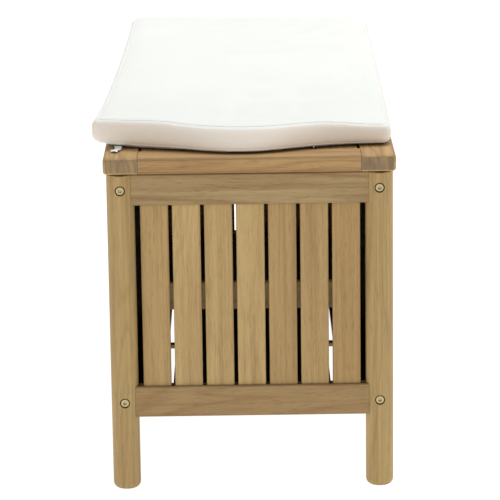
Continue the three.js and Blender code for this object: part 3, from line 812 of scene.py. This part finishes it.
class BENCH_OT_liner(bpy.types.Operator):
    """Make the woven liner, its hems and the staples that hold it"""
    bl_idname = "bench.liner"
    bl_label = "Liner"

    def execute(self, context):
        settings = context.scene.bench_liner
        cloth = woven_liner("Woven liner")
        staple_steel = plated_metal("Staple wire", display(176, 176, 172), 0.4)
        liner = copy_node("liner", "liner_cloth")
        smooth(liner, 30)
        liner.data.materials.append(cloth)
        low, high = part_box("liner")
        wall, fold = 1.5 * MM, 0.9 * MM
        for side, sign in (("front", -1), ("rear", 1)):
            inner = sign * (high.y - wall)
            bpy.ops.object.select_all(action="DESELECT")
            bpy.ops.mesh.primitive_cube_add(
                size=1, location=(0, inner - sign * fold / 2, high.z - settings.hem_width / 2))
            hem = made_piece(f"liner_hem_{side}")
            hem.scale = (high.x - low.x, fold, settings.hem_width)
            settle(hem)
            soften_edges(hem, 0.35 * MM)
            hem.data.materials.append(cloth)
            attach(hem, "box")
            self.staple(side, inner - sign * fold, high, staple_steel)
        stand_for(liner, "liner")
        return {"FINISHED"}

    def cloth_area(self, liner):
        """Half of the closed solid's surface is the cloth."""
        return sum(face.area for face in liner.data.polygons) / 2

    def staple(self, side, face_y, high, material):
        """A row of wire staples along the hem."""
        outward = 1 if side == "rear" else -1
        bpy.ops.object.select_all(action="DESELECT")
        bpy.ops.mesh.primitive_cylinder_add(
            vertices=8, radius=0.5 * MM, depth=10 * MM, location=(0, 0, 0), rotation=(0, math.pi / 2, 0))
        crown = made_piece("staple_pattern")
        settle(crown)
        bpy.ops.object.mode_set(mode="EDIT")
        bpy.ops.mesh.select_all(action="SELECT")
        bpy.ops.mesh.bevel(offset=0.2 * MM, segments=2)
        bpy.ops.object.mode_set(mode="OBJECT")
        smooth(crown, 50)
        crown.data.materials.clear()
        crown.data.materials.append(material)
        count = 11
        from_end = 40 * MM
        places = []
        for index in range(count):
            x = (index - (count - 1) / 2) * 2 * (high.x - from_end) / (count - 1)
            tilt = Matrix.Rotation(random.Random(index).uniform(-0.25, 0.25), 4, "Y")
            places.append(Matrix.Translation((x, face_y - outward * 0.2 * MM, high.z - 8 * MM)) @ tilt)
        piece = join_copies(crown, f"liner_staples_{side}", places)
        bpy.data.objects.remove(crown)
        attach(piece, "box")


# Cushion


def read_points(mesh):
    points = np.zeros(3 * len(mesh.vertices))
    mesh.vertices.foreach_get("co", points)
    return points.reshape(-1, 3)


def write_points(mesh, points):
    mesh.vertices.foreach_set("co", points.ravel())
    mesh.update()


def smooth_step(values):
    held = np.clip(values, 0, 1)
    return held * held * (3 - 2 * held)


def fill_pad(pad, greatest_move):
    """Swells the pad with a short cloth simulation and limits how far each point moves."""
    scene = bpy.context.scene
    before = read_points(pad.data)
    cloth = pad.modifiers.new("Filling", "CLOTH")
    cloth.settings.use_pressure = True
    cloth.settings.uniform_pressure_force = 4
    cloth.settings.effector_weights.gravity = 0
    cloth.settings.quality = 4
    cloth.collision_settings.use_collision = False
    for step in range(1, 21):
        scene.frame_set(step)
    select_only(pad)
    bpy.ops.object.modifier_apply(modifier=cloth.name)
    after = read_points(pad.data)
    move = after - before
    length = np.linalg.norm(move, axis=1, keepdims=True)
    share = np.minimum(1, greatest_move / np.maximum(length, 1e-9))
    write_points(pad.data, before + move * share)
    scene.frame_set(1)


def drape(points, low, high, settings):
    """How the loose cushion lies: wider towards its near end, which bows out, with a corner curled up."""
    x, y, z = points[:, 0], points[:, 1], points[:, 2]
    along = (x - low.x) / (high.x - low.x)
    across = 2 * y / (high.y - low.y)
    height = (z - low.z) / (high.z - low.z)
    half_width = (high.y - low.y) / 2

    # The near end bows out in its middle, most at the bottom, and draws back at its corners
    bow = np.exp(-((across + 0.04) / 0.5) ** 2)
    near = smooth_step((along - 0.55) / 0.45)
    draw_back = 32 * MM
    new_x = x + near * (settings.near_bulge * bow * (1.14 - 0.38 * height) - draw_back)

    # Half widths to the front and to the rear, which spread and narrow along the cushion
    front_half = (236 + 14 * along + 17 * along ** 2) * MM
    rear_half = (247 - 6 * along ** 2) * MM
    new_y = y / half_width * np.where(y < 0, front_half, rear_half)

    # The near front corner curls up and the near rear edge is pressed down
    end = smooth_step((along - 0.8) / 0.2)
    curl = smooth_step((-across - 0.65) / 0.35)
    front_rise = smooth_step((-across - 0.25) / 0.4)
    rear_fall = smooth_step((across - 0.4) / 0.55)
    rise = settings.corner_lift * curl * (1 - height) + 7 * MM * front_rise * height
    fall = 8 * MM * rear_fall * height

    # The far end is fuller, most at its front
    far = smooth_step((0.45 - along) / 0.45)
    far_rise = far * height * (4 - 3 * across) * MM

    ripple = np.sin(across * 7.5 + 0.8) * np.sin(along * 23)
    fold = np.sin(along * 50 + 5 * across) * smooth_step((np.abs(across) - 0.6) / 0.4)
    crumple = height * (0.6 * ripple * (0.3 + near) + 0.35 * fold) * MM
    new_z = z + end * (rise - fall) + far_rise + crumple
    return np.column_stack([new_x, new_y, new_z])


def seam_loop(tree, low, high, height, count=360):
    """Points on the pad's edge at the given height, all the way round."""
    centre = (low + high) / 2
    reach = (high - low).length
    half_x = (high.x - low.x) / 2
    half_y = (high.y - low.y) / 2
    points = []
    for index in range(count):
        turn = 2 * math.pi * index / count
        aim = Vector((math.cos(turn) * half_x, math.sin(turn) * half_y, 0)).normalized()
        start = Vector((centre.x, centre.y, height)) + aim * reach
        hit, _, _, _ = tree.ray_cast(start, -aim)
        if hit is not None:
            points.append(hit + aim * 0.1 * MM)
    return points


def tube_along(name, points, radius, material, closed=True):
    """A thin sewn ridge through the points."""
    curve = bpy.data.curves.new(name, "CURVE")
    curve.dimensions = "3D"
    curve.bevel_depth = radius
    curve.bevel_resolution = 1
    curve.use_fill_caps = True
    spline = curve.splines.new("POLY")
    spline.points.add(len(points) - 1)
    for spot, point in zip(spline.points, points):
        spot.co = (*point, 1)
    spline.use_cyclic_u = closed
    tube = bpy.data.objects.new(name, curve)
    bpy.context.scene.collection.objects.link(tube)
    select_only(tube)
    bpy.ops.object.convert(target="MESH")
    tube = made_piece(name)
    smooth(tube, 60)
    tube.data.materials.clear()
    tube.data.materials.append(material)
    return tube


class BENCH_OT_cushion(bpy.types.Operator):
    """Make the padded seat cushion with its seams and tie"""
    bl_idname = "bench.cushion"
    bl_label = "Seat cushion"

    def execute(self, context):
        settings = context.scene.bench_cushion
        cover = woven_cover("Cushion cover", tuple(settings.top_colour))
        # The sides use a darker, warmer copy of the cover: painted shade
        boxing = woven_cover("Cushion boxing", tuple(settings.side_colour))
        low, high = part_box("seat_cushion")
        pad = self.model_pad(low, high, settings)
        fill_pad(pad, settings.swell)
        divide = pad.modifiers.new("Fine cover", "SUBSURF")
        divide.levels = 1
        divide.render_levels = 1
        apply_modifiers(pad)
        self.fill_box(pad, low, high)
        trimmings = self.sew_seams(pad, low, high, settings, cover)
        trimmings.append(self.model_tie(low, cover))
        write_points(pad.data, drape(read_points(pad.data), low, high, settings))
        self.colour_faces(pad, cover, boxing)
        stand_for(pad, "seat_cushion")
        for piece in trimmings:
            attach(piece, "cushion")
        return {"FINISHED"}

    def sew_seams(self, pad, low, high, settings, cover):
        """The two seams round the pad and the short upright one at its near front corner."""
        tree = BVHTree.FromPolygons(
            [vertex.co for vertex in pad.data.vertices],
            [tuple(face.vertices) for face in pad.data.polygons])
        thickness = high.z - low.z
        seams = []
        for label, share in (("upper", 0.9), ("lower", 0.14)):
            ring = np.array(seam_loop(tree, low, high, low.z + share * thickness))
            lain = drape(ring, low, high, settings)
            seams.append(tube_along(f"cushion_seam_{label}", lain, 0.9 * MM, cover))
        corner_y = low.y + 0.055 * (high.y - low.y)
        heights = low.z + np.linspace(0.16, 0.5, 9) * thickness
        upright = np.array([self.near_point(tree, high, corner_y, height) for height in heights])
        lain = drape(upright, low, high, settings)
        seams.append(tube_along("cushion_seam_upright", lain, 0.5 * MM, cover, closed=False))
        return seams

    def near_point(self, tree, high, y, z):
        """The point of the near face at the given place across and height."""
        hit, _, _, _ = tree.ray_cast(Vector((high.x + 1, y, z)), Vector((-1, 0, 0)))
        return hit

    def model_pad(self, low, high, settings):
        """A rounded slab, a little smaller than the filled cushion."""
        inset = settings.shrink
        size = high - low - Vector((2 * inset, 2 * inset, 2 * inset))
        bpy.ops.object.select_all(action="DESELECT")
        bpy.ops.mesh.primitive_cube_add(size=1, location=(low + high) / 2)
        pad = made_piece("seat_cushion_pad")
        pad.scale = size
        settle(pad)
        for edge in pad.data.edges:
            first, second = (pad.data.vertices[v].co for v in edge.vertices)
            edge.select = abs(first.z - second.z) > size.z / 2
        for face in pad.data.polygons:
            face.select = False
        bpy.ops.object.mode_set(mode="EDIT")
        bpy.ops.mesh.select_mode(type="EDGE")
        bpy.ops.mesh.bevel(offset=14 * MM, segments=5)
        bpy.ops.mesh.select_all(action="DESELECT")
        bpy.ops.object.mode_set(mode="OBJECT")
        rim = pad.modifiers.new("Rim", "BEVEL")
        rim.width = 4 * MM
        rim.segments = 4
        rim.limit_method = "ANGLE"
        rim.angle_limit = math.radians(60)
        remesh = pad.modifiers.new("Even grid", "REMESH")
        remesh.mode = "VOXEL"
        remesh.voxel_size = settings.voxel
        remesh.use_smooth_shade = True
        apply_modifiers(pad)
        return pad

    def fill_box(self, pad, low, high):
        """Scales the filled pad to its packed box and flattens the underside where it lies on the lid."""
        points = read_points(pad.data)
        found_low, found_high = points.min(axis=0), points.max(axis=0)
        wanted_low, wanted_high = np.array(low), np.array(high)
        share = (points - found_low) / (found_high - found_low)
        points = wanted_low + share * (wanted_high - wanted_low)
        pressed_flat = 1.2 * MM
        points[:, 2] = np.where(points[:, 2] < low.z + pressed_flat, low.z, points[:, 2])
        write_points(pad.data, points)

    def model_tie(self, low, cover):
        """The frayed end of a fabric tie that lies on the lid under the curled corner."""
        bpy.ops.object.select_all(action="DESELECT")
        bpy.ops.mesh.primitive_grid_add(x_subdivisions=16, y_subdivisions=8, size=1, location=(0, 0, 0))
        tie = made_piece("cushion_tie")
        points = read_points(tie.data)
        start_x, middle_y = 495 * MM, -224 * MM
        length, width = 46 * MM, 12 * MM
        clear_of_lid = 1.2 * MM
        along = points[:, 0] + 0.5
        across = points[:, 1]
        draw = random.Random(4)
        fray = {value: draw.uniform(-4, 5) for value in np.unique(across.round(4))}
        ragged = np.array([fray[value] for value in across.round(4)]) * MM * smooth_step((along - 0.7) / 0.3)
        points[:, 0] = start_x + along * length + ragged
        points[:, 1] = middle_y + across * width + 3 * MM * np.sin(along * 5)
        points[:, 2] = low.z + clear_of_lid + (np.sin(along * 9) + 1.2) * 1.1 * MM
        write_points(tie.data, points)
        cloth = tie.modifiers.new("Cloth", "SOLIDIFY")
        cloth.thickness = 1.0 * MM
        cloth.offset = 0
        even = tie.modifiers.new("Smooth", "SUBSURF")
        even.levels = 1
        even.render_levels = 1
        apply_modifiers(tie)
        smooth(tie, 60)
        tie.data.materials.clear()
        tie.data.materials.append(cover)
        return tie

    def colour_faces(self, pad, cover, boxing):
        pad.data.materials.clear()
        pad.data.materials.append(cover)
        pad.data.materials.append(boxing)
        for face in pad.data.polygons:
            face.use_smooth = True
            # Upright faces get the boxing colour: painted shade on the cushion's sides
            face.material_index = 1 if abs(face.normal.z) < 0.75 else 0


# Stage


class BENCH_OT_stage(bpy.types.Operator):
    """Make the camera, the lights, the white surroundings and the floor"""
    bl_idname = "bench.stage"
    bl_label = "Stage"

    def execute(self, context):
        settings = context.scene.bench_stage
        self.make_camera(context, settings)
        self.make_surroundings(context, settings)
        self.make_light("Key light", (-0.8, 0.9, 4.5), 2.2, settings.key_power)
        self.make_light("Fill light", (5.0, -2.2, 2.2), 2.0, settings.fill_power)
        self.make_floor()
        context.scene.view_settings.view_transform = "Standard"
        return {"FINISHED"}

    def make_camera(self, context, settings):
        ahead = Vector((
            -math.cos(settings.pitch) * math.cos(settings.yaw),
            math.cos(settings.pitch) * math.sin(settings.yaw),
            -math.sin(settings.pitch)))
        level = ahead.cross(Vector((0, 0, 1))).normalized()
        upright = level.cross(ahead)
        right = math.cos(settings.roll) * level + math.sin(settings.roll) * upright
        up = -math.sin(settings.roll) * level + math.cos(settings.roll) * upright
        turn = Matrix((right, up, -ahead)).transposed()
        bpy.ops.object.camera_add(location=settings.eye, rotation=turn.to_euler())
        camera = bpy.context.view_layer.objects.active
        camera.name = "Camera"
        camera.data.lens = settings.focal_length
        camera.data.sensor_width = 36
        camera.data.clip_end = 100
        context.scene.camera = camera

    def make_surroundings(self, context, settings):
        world = bpy.data.worlds.new("Surroundings")
        world.use_nodes = True
        background = world.node_tree.nodes["Background"]
        background.inputs["Color"].default_value = (1.0, 0.995, 0.98, 1)
        background.inputs["Strength"].default_value = settings.world_strength
        context.scene.world = world

    def make_light(self, name, place, size, power):
        bpy.ops.object.light_add(type="AREA", location=place)
        light = bpy.context.view_layer.objects.active
        light.name = name
        light.data.size = size
        light.data.energy = power
        aim = Vector((0, 0, 0.35)) - Vector(place)
        light.rotation_euler = aim.to_track_quat("-Z", "Y").to_euler()

    def make_floor(self):
        bpy.ops.object.select_all(action="DESELECT")
        bpy.ops.mesh.primitive_plane_add(size=60, location=(0, 0, -0.2 * MM))
        floor = made_piece("studio_floor")
        settle(floor)
        shader = Shader("Studio floor")
        floor.data.materials.append(shader.finish(
            base_color=(0.25, 0.25, 0.25), roughness=0.9, specular_ior_level=0.0,
            emission_color=(1, 1, 1, 1), emission_strength=0.97))


# Panel and registration

OPERATORS = (
    BENCH_OT_stage,
    BENCH_OT_legs,
    BENCH_OT_rails,
    BENCH_OT_slats,
    BENCH_OT_floor,
    BENCH_OT_lid,
    BENCH_OT_bolts,
    BENCH_OT_hinges,
    BENCH_OT_bumpers,
    BENCH_OT_liner,
    BENCH_OT_cushion,
)
SETTINGS = (
    ("bench_stage", StageSettings),
    ("bench_timber", TimberSettings),
    ("bench_metal", MetalSettings),
    ("bench_liner", LinerSettings),
    ("bench_cushion", CushionSettings),
)


class BENCH_PT_parts(bpy.types.Panel):
    """Lists the steps that finish the bench and what can be set"""
    bl_label = "Storage bench"
    bl_space_type = "VIEW_3D"
    bl_region_type = "UI"
    bl_category = "Bench"

    def draw(self, context):
        for operator in OPERATORS:
            self.layout.operator(operator.bl_idname)
        for name, group in SETTINGS:
            column = self.layout.column()
            for field in group.__annotations__:
                column.prop(getattr(context.scene, name), field)


def register():
    for name, group in SETTINGS:
        bpy.utils.register_class(group)
        setattr(bpy.types.Scene, name, bpy.props.PointerProperty(type=group))
    for operator in OPERATORS:
        bpy.utils.register_class(operator)
    bpy.utils.register_class(BENCH_PT_parts)


def unregister():
    bpy.utils.unregister_class(BENCH_PT_parts)
    for operator in reversed(OPERATORS):
        bpy.utils.unregister_class(operator)
    for name, group in reversed(SETTINGS):
        delattr(bpy.types.Scene, name)
        bpy.utils.unregister_class(group)


def main():
    register()
    for operator in OPERATORS:
        group, step = operator.bl_idname.split(".")
        getattr(getattr(bpy.ops, group), step)()


if __name__ == "__main__":
    main()
